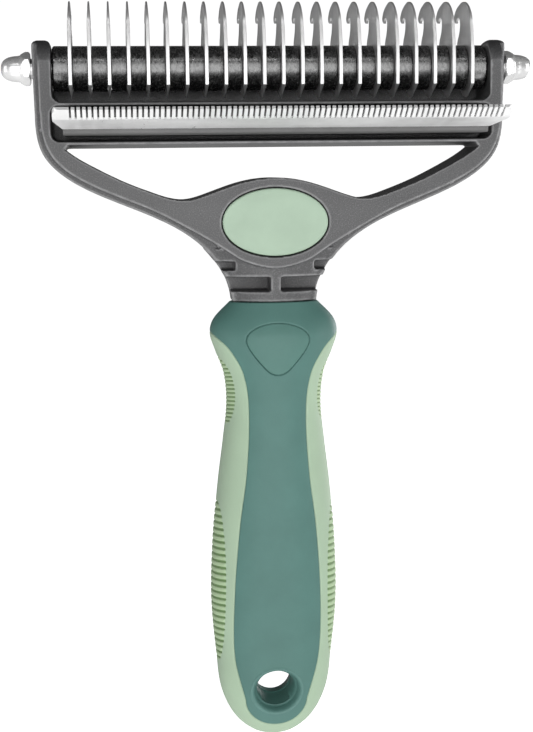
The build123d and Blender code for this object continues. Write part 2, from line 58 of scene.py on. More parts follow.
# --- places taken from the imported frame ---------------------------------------
FOOT_Z = cad_span("side_grip")[0][2]
NECK_Z = cad_span("front_grip_shell")[1][2]
AXLE_Z = (cad_span("claw_spacers")[0][2] + cad_span("claw_spacers")[1][2]) / 2
ROLLER_R = (cad_span("claw_spacers")[1][2] - cad_span("claw_spacers")[0][2]) / 2
NUT_TIP_X = cad_span("acorn_nut_right")[1][0]
NUT_START_X = cad_span("acorn_nut_right")[0][0]
NUT_FLATS = cad_span("acorn_nut_right")[1][1] - cad_span("acorn_nut_right")[0][1]
SLEEVE_FRONT_Y = cad_span("hang_hole_sleeve")[0][1]
SLEEVE_REAR_Y = cad_span("hang_hole_sleeve")[1][1]

# --- handle -------------------------------------------------------------------
LEAN = math.tan(math.radians(5.0))
SECTION_POWER = 2.3
# (height, half width), (height, half depth), and the half width of the hard shell, highest first
WIDTH = ((NECK_Z, 11.2), (101.3, 15.6), (97.5, 16.6), (93.0, 15.3), (87.0, 13.1), (79.0, 12.4),
         (69.0, 13.4), (57.0, 14.9), (42.0, 16.2), (25.0, 16.75), (9.0, 15.7), (0.0, 14.8),
         (-6.0, 12.8), (-10.5, 9.9), (-13.6, 6.1), (FOOT_Z, 2.6))
DEPTH = ((NECK_Z, 7.3), (101.3, 10.3), (97.5, 12.0), (93.0, 12.4), (87.0, 12.0), (79.0, 11.7),
         (69.0, 12.3), (57.0, 13.2), (42.0, 13.6), (25.0, 13.2), (9.0, 11.3), (0.0, 10.0),
         (-6.0, 8.6), (-10.5, 7.0), (-13.6, 5.0), (FOOT_Z, 2.6))
SHELL_EDGE = ((98.0, 16.6), (94.0, 12.3), (87.5, 8.8), (78.0, 7.5), (62.0, 8.2), (47.0, 10.1),
              (28.0, 11.5), (10.0, 11.4), (-3.0, 8.4))
SHELL_TIP_Z = -10.7
EDGE_ROUND = 0.4          # radius along every edge of the handle's pieces
SEAM_DEPTH = 1.2
# rib patches on the soft grip: lowest and highest z, reach, pitch, groove depth, lift
RIB_PATCHES = ((73.6, 91.6, 0.135, 1.07, 0.32, 0.05), (7.2, 52.6, 0.185, 1.75, 0.55, 0.20))
RIB_TILT = math.tan(math.radians(7))
RIB_FADE = 0.6            # share of the groove's depth that is lost at the grip's widest line
# right half of the thumb pad's outline, top to bottom
PAD_OUTLINE = ((0.0, 101.0), (4.2, 100.3), (7.2, 98.6), (8.1, 96.3), (6.9, 93.6), (4.4, 90.4),
               (2.2, 88.2), (0.0, 87.5))
PAD_CENTRE_Z = 95.2
PAD_GAP = 0.09
HOLE_R = 5.3
HOLE_RISE = 0.6           # how much higher the hole's rear end sits
LIP_R = 7.25              # outside of the sleeve's lip
SHELL_HOLE_R = 6.9        # opening of the shells, under the lip
FACES = {-1: "front", 1: "rear"}
SOFT_BORDER = 0.12        # half width of the step at the edge of a pad's bed or a rib patch
RIB_END_POWER = 0.7       # how full the ends of a rib patch are
GROOVE_HALF = 0.25        # half of a groove, as a share of the pitch
GROOVE_WALL = 2.2         # steepness of a groove's walls
PAD_BED = 0.8             # depth of the shells' beds for the thumb pads
PAD_ROUND = 0.3           # radius along the pads' edges
PAD_CROWN, PAD_CROWN_REACH = 0.10, 3.0
PAD_SINK = 0.04           # how far the pads' edges lie under the shell's surface
PAD_SKIRT = 0.7
# the sleeve's lip, from outside to bore: (radius, depth under the handle's surface)
LIP = ((LIP_R, 0.5), (LIP_R, 0.02), (LIP_R - 0.05, -0.08), (LIP_R - 0.22, -0.13), (6.75, -0.02),
       (6.45, 0.25), (6.2, 0.7), (5.95, 1.4), (5.75, 2.2), (5.6, 2.9), (HOLE_R, 3.1))
# the sleeve's bore at its moulding seam: (distance from the seam, step inwards)
BORE = ((-0.45, 0.0), (-0.15, 0.12), (0.0, 0.3), (0.15, 0.3), (0.6, 0.15))
BORE_SEAM = 0.66          # place of the seam, as a share of the sleeve's length

# --- head ---------------------------------------------------------------------
# (share of the half axes, depth under the crown)
BADGE_PROFILE = ((0.03, 0.0), (0.2, 0.0), (0.4, 0.02), (0.6, 0.05), (0.8, 0.09), (0.9, 0.12),
                 (0.945, 0.14), (0.965, 0.17), (0.98, 0.23), (0.992, 0.34), (1.0, 0.55), (1.0, 1.5))
CLAW_STEP = 0.35          # longest step along a claw's outline
# (inset of the outline, share of half the thickness), from the flat face to the ground edge
CLAW_LAYERS = ((0.30, 1.0), (0.10, 0.95), (0.0, 0.80))
CLAW_HEEL = (-7.6, -4.2)  # heights over the axle between which the heel comes to full thickness
CLAW_TIP = (9.0, 17.0)    # heights over the axle between which the tip thins
CLAW_TIP_LOSS = 0.55
CLAW_LEAST = 0.12         # least share of the thickness
AXLE_BORE_R = 2.6         # bore of rings and nuts, hidden on the axle
RING_STEPS = 96
RING_BEVEL, END_BEVEL = 0.12, 0.5
NUT_HEX_LENGTH = 2.4
NUT_DOME_R = 3.2
NUT_DOME_POWER = 0.77     # below 1 the dome is fuller than an ellipse
FRAME_VOXEL = 0.3
FRAME_PASSES = 6
HOLDER_BEVEL = 0.25

# --- studio, in metres and watts ------------------------------------------------
CAMERA_PLACE = (-0.041017, -0.367274, 0.139173)
CAMERA_YAW, CAMERA_PITCH, CAMERA_ROLL = 0.106, 0.136, -0.011
SENSOR, FOCAL, FRAME_HEIGHT = 36, 1426.22, 732
# name, place, width, height, power
LIGHTS = (("front", (-0.05, -0.95, 0.12), 1.1, 0.9, 6.3),
          ("strip", (0.0, -0.72, 0.78), 1.0, 0.04, 0.9),
          ("below", (0.0, -0.60, -0.55), 1.0, 0.5, 1.5),
          ("left", (-0.95, -0.35, 0.15), 0.5, 0.8, 1.8),
          ("right", (0.95, -0.25, 0.15), 0.5, 0.8, 3.2),
          ("rear", (0.80, 0.75, 0.10), 0.5, 0.6, 4))
LIGHT_AIM = (0, 0, 0.1)
# light of the surroundings, from straight below (0) to straight above (1)
SKY = ((0.0, 0.85), (0.3, 0.65), (0.5, 0.25), (0.6, 0.10), (1.0, 0.03))
BACKDROP = 1.05           # strength where the camera sees the surroundings themselves
FLOOR_HALF = 3.0
FLOOR_GAP = 0.05 * MM


# --- mesh helpers -------------------------------------------------------------
def new_piece(name, points, faces, body, node_names, material, smooth_angle=40):
    """A mesh piece in place of some CAD nodes, riding on their body."""
    mesh = bpy.data.meshes.new(name)
    mesh.from_pydata((np.asarray(points) * MM).tolist(), [], faces)
    mesh.validate()
    piece = bpy.data.objects.new(name, mesh)
    bpy.context.scene.collection.objects.link(piece)
    mesh.materials.append(material)
    mesh.shade_smooth()
    if smooth_angle:
        mesh.set_sharp_from_angle(angle=math.radians(smooth_angle))
    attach(piece, body)
    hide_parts(*node_names)
    return piece


def grid_faces(rows, columns, first=0, wrap=False):
    """Quads of a grid of points stored row by row."""
    faces = []
    last = columns if wrap else columns - 1
    for i in range(rows - 1):
        for j in range(last):
            a = first + i * columns + j
            b = first + i * columns + (j + 1) % columns
            faces.append((a, a + columns, b + columns, b))
    return faces


def smooth_steps(value, start, end):
    """0 before start, 1 after end, and smooth between."""
    t = np.clip((value - start) / (end - start), 0, 1)
    return t * t * (3 - 2 * t)


def along(table, z):
    """Smooth value at each height, from a table of (height, value) rows, highest first."""
    heights = np.array([row[0] for row in table][::-1], float)
    values = np.array([row[1] for row in table][::-1], float)
    z = np.clip(z, heights[0], heights[-1])
    slopes = np.empty_like(values)
    slopes[1:-1] = (values[2:] - values[:-2]) / (heights[2:] - heights[:-2])
    slopes[0] = (values[1] - values[0]) / (heights[1] - heights[0])
    slopes[-1] = (values[-1] - values[-2]) / (heights[-1] - heights[-2])
    i = np.clip(np.searchsorted(heights, z, side="right") - 1, 0, len(heights) - 2)
    step = heights[i + 1] - heights[i]
    t = (z - heights[i]) / step
    return ((2 * t ** 3 - 3 * t ** 2 + 1) * values[i] + (t ** 3 - 2 * t ** 2 + t) * step * slopes[i]
            + (3 * t ** 2 - 2 * t ** 3) * values[i + 1] + (t ** 3 - t ** 2) * step * slopes[i + 1])


# --- the handle's surface -------------------------------------------------------
def grip_points(z, angle):
    """Points of the handle's super-elliptic sections; angle 0 is +X and -90 degrees is the front."""
    cos, sin = np.cos(angle), np.sin(angle)
    x = along(WIDTH, z) * np.sign(cos) * np.abs(cos) ** (2 / SECTION_POWER)
    y = along(DEPTH, z) * np.sign(sin) * np.abs(sin) ** (2 / SECTION_POWER)
    return np.stack([x, y + LEAN * (NECK_Z - z), z + 0 * x], -1)


def grip_level(points):
    """Zero on the handle's surface, negative inside."""
    x, y, z = points[..., 0], points[..., 1], points[..., 2]
    y = y - LEAN * (NECK_Z - z)
    return (np.abs(x / along(WIDTH, z)) ** SECTION_POWER
            + np.abs(y / along(DEPTH, z)) ** SECTION_POWER - 1)


def grip_normals(points):
    """Unit outward normals of the handle's surface."""
    step = 0.02
    parts = []
    for axis in np.eye(3):
        parts.append(grip_level(points + step * axis) - grip_level(points - step * axis))
    normals = np.stack(parts, -1)
    return normals / np.maximum(np.linalg.norm(normals, axis=-1, keepdims=True), 1e-12)


def edge_angle(z):
    """Angle from the side at which the hard shell meets the soft grip."""
    low_z = SHELL_EDGE[-1][0]
    half = along(SHELL_EDGE, z)
    tip = np.clip((low_z - z) / (low_z - SHELL_TIP_Z), 0, 1)
    half = np.where(z < low_z, SHELL_EDGE[-1][1] * np.sqrt(1 - tip ** 2), half)
    share = np.clip(half / along(WIDTH, z), 0, 1)
    return np.where(z >= SHELL_EDGE[0][0], 0.0, np.arccos(share ** (SECTION_POWER / 2)))


def folded(points):
    """Points moved to the handle's front right quarter, where the mirrored edges fall together."""
    shift = LEAN * (NECK_Z - points[..., 2])
    return np.stack([np.abs(points[..., 0]), -np.abs(points[..., 1] - shift), points[..., 2]], -1)


def distances(points, curve):
    """Distance from every point to the nearest of a curve's dense points."""
    tree = KDTree(len(curve))
    for i, p in enumerate(curve):
        tree.insert(p, i)
    tree.balance()
    flat = points.reshape(-1, 3)
    found = [tree.find(p)[2] for p in flat]
    return np.array(found).reshape(points.shape[:-1])


def seam_curve():
    """Dense points of the edge between shell and soft grip, in the folded quarter."""
    z = np.concatenate([np.linspace(NECK_Z, 98.3, 120), np.linspace(98.3, 97.0, 200),
                        np.linspace(96.95, SHELL_EDGE[-1][0], 2000), tip_rows(900)])
    return folded(grip_points(z, -edge_angle(z)))


def edge_drop(distance):
    """How far a surface curls in, this near to its edge."""
    inside = np.clip(EDGE_ROUND - distance, 0, EDGE_ROUND)
    return EDGE_ROUND - np.sqrt(EDGE_ROUND ** 2 - inside ** 2)


def spaced(*runs):
    """Heights from runs of (start, end, step), joined without repeats."""
    parts = []
    for start, end, step in runs:
        count = max(2, int(round(abs(start - end) / step)) + 1)
        parts.append(np.linspace(start, end, count)[:-1])
    return np.concatenate(parts)


def tip_rows(count):
    """Heights towards the shell's round tip, closer together near its end."""
    low_z = SHELL_EDGE[-1][0]
    turn = np.linspace(0, math.pi / 2, count)
    return low_z - (low_z - SHELL_TIP_Z) * np.sin(turn)


def pad_radius(angle):
    """Distance of the thumb pad's outline from its centre; angle 0 points up."""
    right = np.array(PAD_OUTLINE)
    ring = np.concatenate([right, (right * (-1, 1))[-2:0:-1]])
    count = len(ring)
    fine = []
    for i in range(count):
        p0, p1, p2, p3 = (ring[(i + k) % count] for k in (-1, 0, 1, 2))
        for t in np.linspace(0, 1, 12, endpoint=False):
            fine.append(0.5 * (2 * p1 + (p2 - p0) * t + (2 * p0 - 5 * p1 + 4 * p2 - p3) * t ** 2
                               + (3 * p1 - p0 - 3 * p2 + p3) * t ** 3))
    fine = np.array(fine) - (0, PAD_CENTRE_Z)
    bearing = np.arctan2(fine[:, 0], fine[:, 1])
    order = np.argsort(bearing)
    return np.interp(angle, bearing[order], np.hypot(fine[:, 0], fine[:, 1])[order],
                     period=2 * math.pi)


def pad_inside(points):
    """How far each point lies inside the thumb pad's outline, seen from the front."""
    x, z = points[..., 0], points[..., 2] - PAD_CENTRE_Z
    return pad_radius(np.arctan2(x, z)) - np.hypot(x, z)


# --- pieces of the handle -------------------------------------------------------
def make_shell(side, seam, material):
    """Hard front (side -1) or rear shell, with a bed for the thumb pad and an open hang hole."""
    heights = np.concatenate([spaced((NECK_Z, 104.7, 0.06), (104.7, 102.0, 0.3), (102.0, 98.6, 0.22),
                                     (98.6, 97.0, 0.08), (97.0, 86.5, 0.22), (86.5, 10.0, 0.75),
                                     (10.0, -3.0, 0.3)), tip_rows(60)])
    across = np.sin(np.linspace(-math.pi / 2, math.pi / 2, 221))
    z = heights[:, None] + 0 * across[None, :]
    half = math.pi / 2 - edge_angle(heights)[:, None]
    angle = side * (math.pi / 2 - across[None, :] * half)
    base = grip_points(z, angle)
    normals = grip_normals(base)
    near = np.minimum(distances(folded(base), seam), NECK_Z - z)
    pad_bed = PAD_BED * smooth_steps(pad_inside(base), -SOFT_BORDER, SOFT_BORDER)
    surface = base - normals * (edge_drop(near) + pad_bed)[..., None]
    rows, columns = z.shape
    top, bottom = surface[0], surface[-1]
    rim = np.concatenate([top, surface[1:, -1], bottom[-2::-1], surface[-2:0:-1, 0]])
    rim_normals = np.concatenate([normals[0], normals[1:, -1], normals[-1][-2::-1],
                                  normals[-2:0:-1, 0]])
    points = np.concatenate([surface.reshape(-1, 3), rim, rim - rim_normals * SEAM_DEPTH])
    keep = []
    for face in grid_faces(rows, columns):
        middle = points[list(face)].mean(axis=0)
        if math.hypot(middle[0], middle[2]) > SHELL_HOLE_R:
            keep.append(face)
    first = rows * columns
    keep += grid_faces(2, len(rim), first, wrap=True)
    piece = new_piece(FACES[side] + "_shell", points, keep, "frame", [FACES[side] + "_grip_shell"],
                      material, None)
    tidy_normals(piece)


def tidy_normals(piece):
    """Weld touching points and turn every face outwards."""
    mesh = bmesh.new()
    mesh.from_mesh(piece.data)
    bmesh.ops.remove_doubles(mesh, verts=mesh.verts, dist=1e-6)
    bmesh.ops.dissolve_degenerate(mesh, edges=mesh.edges, dist=1e-7)
    bmesh.ops.recalc_face_normals(mesh, faces=mesh.faces)
    mesh.to_mesh(piece.data)
    mesh.free()


def make_thumb_pad(side, material):
    """Soft inlay that fills the shell's bed, with rounded edges and a slight crown."""
    turn = np.linspace(0, 2 * math.pi, 144, endpoint=False)
    outline = pad_radius(turn) - PAD_GAP
    rings = np.concatenate([np.linspace(0.02, 0.9, 22), [0.94, 0.96, 0.975, 0.985, 0.993, 0.998, 1]])
    r = rings[:, None] * outline[None, :]
    x = r * np.sin(turn)
    z = PAD_CENTRE_Z + r * np.cos(turn)
    base = np.stack([x, front_y(x, z, side), z], -1)
    normals = grip_normals(base)
    inside = outline[None, :] - r
    near = np.clip(PAD_ROUND - inside, 0, None)
    drop = PAD_ROUND - np.sqrt(np.maximum(PAD_ROUND ** 2 - near ** 2, 0))
    crown = PAD_CROWN * smooth_steps(inside, 0, PAD_CROWN_REACH)
    surface = base + normals * (crown - drop - PAD_SINK)[..., None]
    skirt = surface[-1] - normals[-1] * PAD_SKIRT
    points = np.concatenate([surface.reshape(-1, 3), skirt])
    faces = grid_faces(len(rings) + 1, len(turn), wrap=True)
    faces.append(tuple(range(len(turn))))
    piece = new_piece(FACES[side] + "_pad", points, faces, "frame", [FACES[side] + "_thumb_pad"],
                      material, None)
    tidy_normals(piece)


def rib_relief(points):
    """Height of the ribs over the grip's surface; how deep in a groove, and in a patch, a point is."""
    x = np.abs(points[..., 0])
    z = points[..., 2]
    depth_in = points[..., 1] - LEAN * (NECK_Z - z)
    width = along(WIDTH, z)
    relief = np.zeros_like(x)
    shade = np.zeros_like(x)
    patch = np.zeros_like(x)
    for low, high, reach, pitch, depth, lift in RIB_PATCHES:
        s = np.clip((z - (low + high) / 2) / ((high - low) / 2), -1, 1)
        border = width * (1 - reach * (1 - s ** 2) ** RIB_END_POWER)
        inside = smooth_steps(x - border, -SOFT_BORDER, SOFT_BORDER) * (np.abs(s) < 1)
        phase = np.mod((z + RIB_TILT * depth_in - low) / pitch, 1.0)
        groove = np.clip(1 - np.abs(phase - 0.5) / GROOVE_HALF, 0, 1)
        groove = smooth_steps(groove * GROOVE_WALL, 0, 1)
        outward = np.clip((x - border) / np.maximum(width - border, 1e-6), 0, 1)
        relief += inside * (lift * (1 - s ** 4) - depth * groove * (1 - RIB_FADE * outward))
        shade += inside * groove
        patch += inside
    return relief, shade, patch


def make_side_grip(seam, material):
    """Soft grip: ribbed strips along both sides, joined round the foot."""
    heights = np.concatenate([spaced((98.0, 97.4, 0.04), (97.4, 92.5, 0.3), (92.5, 73.0, 0.12),
                                     (73.0, 53.5, 0.6), (53.5, 5.0, 0.16), (5.0, -3.0, 0.4)),
                              tip_rows(50)[:-1],
                              spaced((SHELL_TIP_Z, -14.4, 0.18), (-14.4, FOOT_Z, 0.06)), [FOOT_Z]])
    across = np.sin(np.linspace(-math.pi / 2, math.pi / 2, 131))
    half = np.where(heights > SHELL_TIP_Z, edge_angle(np.maximum(heights, SHELL_TIP_Z)), math.pi / 2)
    z = heights[:, None] + 0 * across[None, :]
    base = grip_points(z, across[None, :] * half[:, None])
    normals = grip_normals(base)
    relief, shade, patch = rib_relief(base)
    drop = edge_drop(distances(folded(base), seam))
    surface = base + normals * (relief - drop)[..., None]
    rows, columns = z.shape
    open_rows = int(np.sum(heights > SHELL_TIP_Z))
    points = [surface.reshape(-1, 3)]
    faces = grid_faces(rows, columns)
    marks = [np.stack([shade, patch], -1).reshape(-1, 2)]
    count = rows * columns
    for column in (0, -1):
        edge = surface[:open_rows, column]
        inner = edge - normals[:open_rows, column] * SEAM_DEPTH
        points.append(np.stack([edge, inner], 1).reshape(-1, 3))
        faces += grid_faces(open_rows, 2, count)
        marks.append(np.zeros((open_rows * 2, 2)))
        count += open_rows * 2
    cap = grip_points(np.array([FOOT_Z]), np.array([0.0])) * (0, 1, 1)
    points.append(cap)
    marks.append(np.zeros((1, 2)))
    last = (rows - 1) * columns
    faces += [(last + j, count, last + j + 1) for j in range(columns - 1)]
    count += 1
    points = np.concatenate(points)
    marks = np.concatenate(marks)
    mirrored = points * (-1, 1, 1)
    faces += [tuple(i + count for i in reversed(face)) for face in faces]
    both_halves = np.concatenate([marks, marks]).astype(np.float32)
    piece = new_piece("soft_grip", np.concatenate([points, mirrored]), faces, "frame",
                      ["side_grip"], material, None)
    for column, name in enumerate(("groove", "ribbed")):
        layer = piece.data.attributes.new(name, "FLOAT", "POINT")
        layer.data.foreach_set("value", np.ascontiguousarray(both_halves[:, column]))
    tidy_normals(piece)


def front_y(x, z, side):
    """Depth of the handle's surface at a place seen from the front or the rear."""
    share = np.clip(1 - np.abs(x / along(WIDTH, z)) ** SECTION_POWER, 0, 1) ** (1 / SECTION_POWER)
    return LEAN * (NECK_Z - z) + side * along(DEPTH, z) * share


def make_sleeve(material):
    """Lining of the hang hole, with a soft lip on both faces and a moulding seam inside."""
    turn = np.linspace(0, 2 * math.pi, 128, endpoint=False)
    depth = SLEEVE_REAR_Y - SLEEVE_FRONT_Y
    seam_y = SLEEVE_FRONT_Y + BORE_SEAM * depth
    rings = []
    for r, sink in LIP:
        x, z = r * np.cos(turn), r * np.sin(turn)
        rings.append(np.stack([x, front_y(x, z, -1) + sink, z], -1))
    for offset, step in BORE:
        y = seam_y + offset
        r = HOLE_R - step
        lift = HOLE_RISE * (y - SLEEVE_FRONT_Y) / depth
        rings.append(np.stack([r * np.cos(turn), y + 0 * turn, r * np.sin(turn) + lift], -1))
    for r, sink in reversed(LIP):
        x, z = r * np.cos(turn), r * np.sin(turn)
        lift = HOLE_RISE * smooth_steps(LIP_R - r, 0, LIP_R - HOLE_R)
        rings.append(np.stack([x, front_y(x, z, 1) - sink, z + lift], -1))
    points = np.concatenate(rings)
    faces = grid_faces(len(rings), len(turn), wrap=True)
    piece = new_piece("hang_hole_lining", points, faces, "frame", ["hang_hole_sleeve"], material,
                      70)
    tidy_normals(piece)


# --- pieces of the head -----------------------------------------------------------
def make_badge(node, side, material):
    """Oval inlay with a crown and a rolled rim."""
    low, high = cad_span(node)
    a, b = (high[0] - low[0]) / 2, (high[2] - low[2]) / 2
    middle_z = (high[2] + low[2]) / 2
    face_y = low[1] if side < 0 else high[1]
    turn = np.linspace(0, 2 * math.pi, 160, endpoint=False)
    rings = []
    for share, sink in BADGE_PROFILE:
        inset = (1 - share) * b
        x = (a - inset) * np.sin(turn) if share > 0.5 else a * share * np.sin(turn)
        rings.append(np.stack([x, face_y - side * sink + 0 * turn,
                               middle_z + b * share * np.cos(turn)], -1))
    points = np.concatenate(rings)
    faces = grid_faces(len(rings), len(turn), wrap=True)
    faces.append(tuple(range(len(turn))))
    piece = new_piece(node.replace("badge", "inlay"), points, faces, "frame", [node], material,
                      None)
    tidy_normals(piece)


def outline_loop(node):
    """A flat CAD plate's outline in Y and Z, in order, in millimetres."""
    mesh = bmesh.new()
    mesh.from_mesh(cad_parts[node].data)
    bmesh.ops.remove_doubles(mesh, verts=mesh.verts, dist=1e-7)
    side = max(v.co.x for v in mesh.verts)
    flat = [f for f in mesh.faces if all(abs(v.co.x - side) < 1e-6 for v in f.verts)]
    chosen = set(flat)
    border = {}
    for face in flat:
        for edge in face.edges:
            if sum(other in chosen for other in edge.link_faces) == 1:
                a, b = edge.verts
                border.setdefault(a, []).append(b)
                border.setdefault(b, []).append(a)
    start = max(border, key=lambda v: v.co.z)
    loop, before, here = [start], None, start
    while True:
        ahead = [v for v in border[here] if v is not before][0]
        if ahead is start:
            break
        loop.append(ahead)
        before, here = here, ahead
    points = np.array([(v.co.y / MM, v.co.z / MM) for v in loop])
    mesh.free()
    area = np.sum(points[:, 0] * np.roll(points[:, 1], -1) - np.roll(points[:, 0], -1) * points[:, 1])
    return points if area > 0 else points[::-1]


def inset_loop(points, distance):
    """A counter-clockwise outline moved inwards."""
    ahead = np.roll(points, -1, axis=0) - points
    ahead /= np.maximum(np.linalg.norm(ahead, axis=1, keepdims=True), 1e-9)
    behind = np.roll(ahead, 1, axis=0)
    inward = np.stack([-(ahead + behind)[:, 1], (ahead + behind)[:, 0]], -1)
    inward /= np.maximum(np.linalg.norm(inward, axis=1, keepdims=True), 1e-9)
    return points + inward * distance


def even_loop(points, step):
    """The outline again, with points at most a step apart."""
    fine = []
    for p, q in zip(points, np.roll(points, -1, axis=0)):
        count = max(1, int(math.ceil(np.linalg.norm(q - p) / step)))
        fine += [p + (q - p) * k / count for k in range(count)]
    return np.array(fine)


def make_claw(node, material):
    """Claw with a ground edge, thinner towards its tip and its heel."""
    low, high = cad_span(node)
    middle_x, half = (low[0] + high[0]) / 2, (high[0] - low[0]) / 2
    loop = even_loop(outline_loop(node), CLAW_STEP)
    layers = []
    for inset, share in CLAW_LAYERS:
        ring = inset_loop(loop, inset) if inset else loop
        height = ring[:, 1] - AXLE_Z
        taper = smooth_steps(height, *CLAW_HEEL) * (1 - CLAW_TIP_LOSS * smooth_steps(height, *CLAW_TIP))
        taper = np.maximum(taper, CLAW_LEAST)
        layers.append((ring, half * share * taper))
    order = [(0, 1), (1, 1), (2, 1), (2, -1), (1, -1), (0, -1)]
    points = []
    for index, sign in order:
        ring, thick = layers[index]
        points.append(np.stack([middle_x + sign * thick, ring[:, 0], ring[:, 1]], -1))
    count = len(loop)
    faces = grid_faces(len(order), count, wrap=True)
    faces.append(tuple(range(count)))
    faces.append(tuple(range(5 * count, 6 * count)))
    name = node.replace("claw_", "hook_")
    piece = new_piece(name, np.concatenate(points), faces, "comb", [node], material, 30)
    tidy_normals(piece)


def lathe_x(profile):
    """Rings round the X axis through the axle, from (x, radius) stations; points and faces."""
    turn = np.linspace(0, 2 * math.pi, RING_STEPS, endpoint=False)
    rings = [np.stack([x + 0 * turn, r * np.cos(turn), AXLE_Z + r * np.sin(turn)], -1)
             for x, r in profile]
    return np.concatenate(rings), grid_faces(len(profile), RING_STEPS, wrap=True)


def spacer_profile(x0, x1, bevel0=RING_BEVEL, bevel1=RING_BEVEL):
    """Stations of a ring with softly broken edges; its bore is hidden on the axle."""
    return ((x0, AXLE_BORE_R), (x0, ROLLER_R - bevel0 * 1.6),
            (x0 + bevel0 * 0.35, ROLLER_R - bevel0 * 0.6), (x0 + bevel0, ROLLER_R - 0.01),
            (x0 + bevel0 * 1.6, ROLLER_R), (x1 - bevel1 * 1.6, ROLLER_R),
            (x1 - bevel1, ROLLER_R - 0.01), (x1 - bevel1 * 0.35, ROLLER_R - bevel1 * 0.6),
            (x1, ROLLER_R - bevel1 * 1.6), (x1, AXLE_BORE_R))


def make_rollers(material):
    """All black spacers between the claws, and the two bevelled end spacers."""
    plates = sorted((cad_span(n)[0][0], cad_span(n)[1][0]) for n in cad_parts
                    if n.startswith("claw_") and n != "claw_spacers")
    points, faces, count = [], [], 0
    for left, right in zip(plates[:-1], plates[1:]):
        ring, quads = lathe_x(spacer_profile(left[1], right[0]))
        points.append(ring)
        faces += [tuple(i + count for i in quad) for quad in quads]
        count += len(ring)
    pieces = [new_piece("roller_rings", np.concatenate(points), faces, "comb", ["claw_spacers"],
                        material, 35)]
    for node, bevels in (("end_spacer_left", (END_BEVEL, RING_BEVEL)),
                          ("end_spacer_right", (RING_BEVEL, END_BEVEL))):
        low, high = cad_span(node)
        ring, quads = lathe_x(spacer_profile(low[0], high[0], *bevels))
        pieces.append(new_piece(node.replace("spacer", "ring"), ring, quads, "comb", [node], material,
                                35))
    for piece in pieces:
        tidy_normals(piece)


def make_nut(side, material):
    """Acorn nut: hexagon with chamfered corners, and a full dome."""
    flat = NUT_FLATS / 2
    length = NUT_TIP_X - NUT_START_X
    turn = np.linspace(0, 2 * math.pi, 180, endpoint=False)
    sixth = math.pi / 3
    off = np.mod(turn + math.pi / 6, sixth) - sixth / 2
    hexagon = flat / np.cos(off)
    corner = flat / math.cos(sixth / 2)
    stations = []
    for x in (0.0, 0.0, 0.12, 0.3, 0.5, 1.2, 1.5, 1.7, 1.9, 2.1, 2.3, NUT_HEX_LENGTH):
        cone = min(corner, flat + 0.1 + x * 1.3, flat + (NUT_HEX_LENGTH - x) * 0.6 - 0.12)
        stations.append((x, np.minimum(hexagon, cone)))
    stations[0] = (0.0, AXLE_BORE_R + 0 * turn)
    stations.append((NUT_HEX_LENGTH + 0.05, NUT_DOME_R + 0.15 + 0 * turn))
    for lift in np.linspace(0.05, 1.0, 22):
        tilt = lift * math.pi / 2
        reach, radius = (max(v, 0.0) ** NUT_DOME_POWER for v in (math.sin(tilt), math.cos(tilt)))
        stations.append((NUT_HEX_LENGTH + (length - NUT_HEX_LENGTH) * reach,
                         NUT_DOME_R * radius + 0 * turn))
    rings = []
    for x, r in stations:
        rings.append(np.stack([side * (NUT_START_X + x) + 0 * turn, r * np.cos(turn),
                               AXLE_Z + r * np.sin(turn)], -1))
    faces = grid_faces(len(rings), len(turn), wrap=True)
    end = "left" if side < 0 else "right"
    piece = new_piece("nut_" + end, np.concatenate(rings), faces, end + "_nut", ["acorn_nut_" + end],
                      material, 28)
    tidy_normals(piece)


# --- materials -----------------------------------------------------------------
def colour(r, g, b):
    """Screen colour from 0 to 255 as linear light."""
    parts = []
    for v in (r, g, b):
        v /= 255
        parts.append(v / 12.92 if v <= 0.04045 else ((v + 0.055) / 1.055) ** 2.4)
    return (*parts, 1.0)


def new_material(name, metallic, roughness, specular=0.5):
    """A node material and its shader, its links and a coordinate source."""
    material = bpy.data.materials.new(name)
    material.use_nodes = True
    nodes, links = material.node_tree.nodes, material.node_tree.links
    shader = nodes["Principled BSDF"]
    shader.inputs["Metallic"].default_value = metallic
    shader.inputs["Roughness"].default_value = roughness
    shader.inputs["Specular IOR Level"].default_value = specular
    place = nodes.new("ShaderNodeTexCoord").outputs["Object"]
    return material, nodes, links, shader, place


def noise(nodes, links, place, scale, detail=3.0, roughness=0.55, stretch=None):
    """Noise over the object in metres; stretch scales the axes for a grain direction."""
    if stretch:
        mapping = nodes.new("ShaderNodeMapping")
        mapping.inputs["Scale"].default_value = stretch
        links.new(place, mapping.inputs["Vector"])
        place = mapping.outputs["Vector"]
    texture = nodes.new("ShaderNodeTexNoise")
    texture.inputs["Scale"].default_value = scale
    texture.inputs["Detail"].default_value = detail
    texture.inputs["Roughness"].default_value = roughness
    links.new(place, texture.inputs["Vector"])
    return texture.outputs["Fac"]


def ramp(nodes, links, source, stops):
    """Colour ramp from (position, colour) stops."""
    node = nodes.new("ShaderNodeValToRGB")
    while len(node.color_ramp.elements) < len(stops):
        node.color_ramp.elements.new(0.5)
    for element, (position, value) in zip(node.color_ramp.elements, stops):
        element.position = position
        element.color = value
    links.new(source, node.inputs["Fac"])
    return node.outputs["Color"]


def spread(nodes, links, source, low, high, from_low=0.3, from_high=0.7):
    """A number from low to high as the source goes over its range."""
    node = nodes.new("ShaderNodeMapRange")
    node.inputs["From Min"].default_value = from_low
    node.inputs["From Max"].default_value = from_high
    node.inputs["To Min"].default_value = low
    node.inputs["To Max"].default_value = high
    links.new(source, node.inputs["Value"])
    return node.outputs["Result"]


